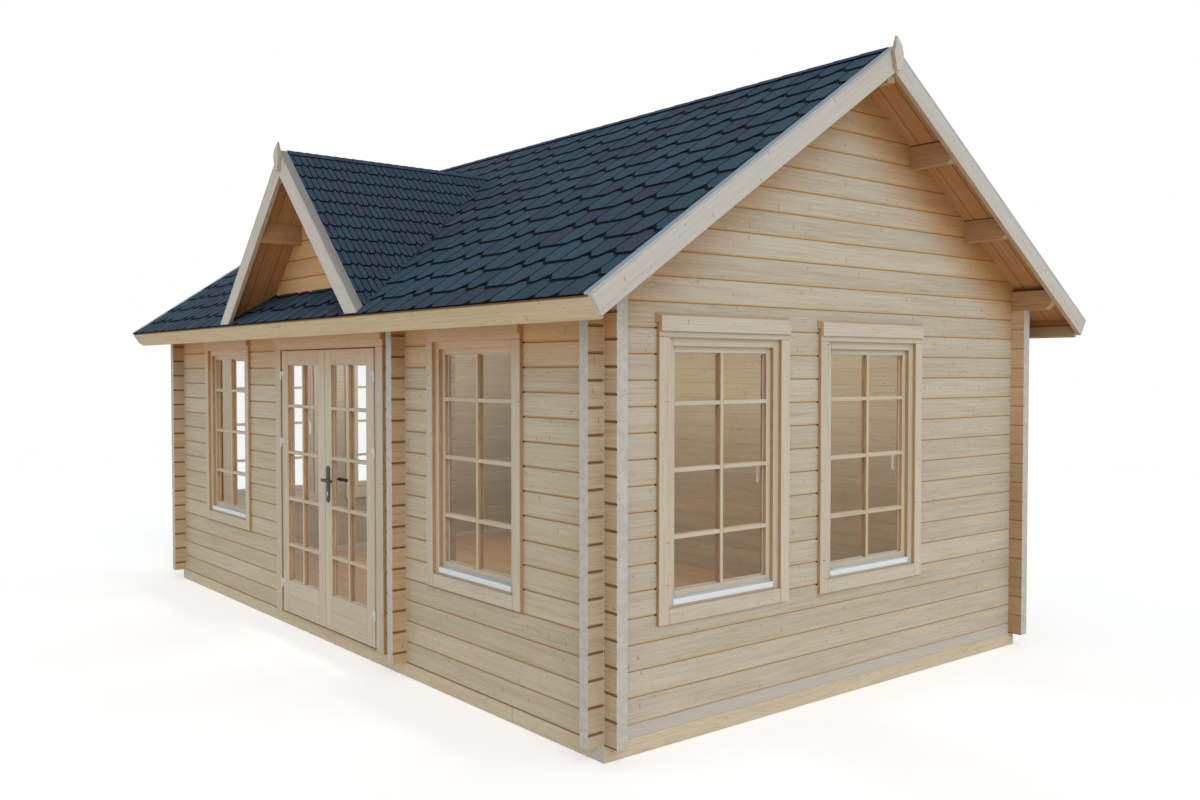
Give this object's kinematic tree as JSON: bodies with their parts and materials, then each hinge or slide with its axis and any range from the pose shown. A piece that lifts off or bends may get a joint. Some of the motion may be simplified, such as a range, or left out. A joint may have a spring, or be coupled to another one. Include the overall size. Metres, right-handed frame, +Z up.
{
  "type": "log cabin",
  "caption": "Pitched-roof log cabin with one room, a glazed double door under a dormer, barred windows, a shingle roof and log corners that interlock.",
  "frame": {"origin": "on the ground at the centre of the plan, on the underside of the middle floor joist", "axes": "+Z up, +X along the ridge to the viewer's right when facing the door, the door and the dormer on the -Y side"},
  "size_m": [7.014, 4.5236, 3.8918],
  "materials": {
    "log_wood": "planed spruce logs, untreated, fine grain with small knots",
    "beam_wood": "planed spruce beams",
    "foundation_wood": "pressure-treated spruce, planed",
    "floor_wood": "planed pine floor boards",
    "roof_board_wood": "planed spruce boards",
    "trim_wood": "planed spruce boards, paler than the logs",
    "joinery_wood": "sanded spruce joinery",
    "bitumen_shingle": "mineral-surfaced bitumen, slate blue and matt",
    "pane_glass": "clear double glazing",
    "sill_metal": "white anodised",
    "hinge_metal": "zinc-plated",
    "handle_metal": "dark grey, satin",
    "window_handle_white": "white"
  },
  "bodies": {
    "cabin": {"front_wall_left": "log_wood", "front_wall_right": "log_wood", "front_wall_over_door": "log_wood", "back_wall": "log_wood", "left_gable_wall": "log_wood", "right_gable_wall": "log_wood", "cross_wall": "log_wood", "dormer_gable_wall": "log_wood", "wall_plates": "beam_wood", "ridge_beam": "beam_wood", "purlins": "beam_wood", "dormer_beams": "beam_wood", "foundation_side_beams": "foundation_wood", "foundation_long_beams": "foundation_wood", "floor_boards": "floor_wood", "front_roof_boards": "roof_board_wood", "back_roof_boards": "roof_board_wood", "dormer_roof_boards": "roof_board_wood", "eave_battens": "roof_board_wood", "fascia_boards": "trim_wood", "right_bargeboards": "trim_wood", "left_bargeboards": "trim_wood", "dormer_bargeboards": "trim_wood", "cover_strips": "trim_wood", "finials": "trim_wood", "window_trims": "trim_wood", "inner_window_trims": "trim_wood", "head_boards": "trim_wood", "door_trims": "trim_wood", "window_frames": "joinery_wood", "window_sashes": "joinery_wood", "door_frame": "joinery_wood", "front_shingles": "bitumen_shingle", "back_shingles": "bitumen_shingle", "dormer_shingles": "bitumen_shingle", "window_glass": "pane_glass", "window_sills": "sill_metal", "hinge_pins": "hinge_metal", "window_handles": "window_handle_white"},
    "left_leaf": {"left_leaf": "joinery_wood", "left_leaf_glass": "pane_glass", "left_leaf_hinges": "hinge_metal"},
    "right_leaf": {"right_leaf": "joinery_wood", "right_leaf_glass": "pane_glass", "right_leaf_hinges": "hinge_metal", "lever_handle": "handle_metal"}
  },
  "joints": [
    {"name": "left_leaf_hinge", "type": "hinge", "parent": "cabin", "child": "left_leaf", "pos_m": [-0.7665, -1.924, 1.2], "axis": [0, 0, -1], "range_deg": [0, 110]},
    {"name": "right_leaf_hinge", "type": "hinge", "parent": "cabin", "child": "right_leaf", "pos_m": [0.7665, -1.924, 1.2], "axis": [0, 0, 1], "range_deg": [0, 110]}
  ]
}
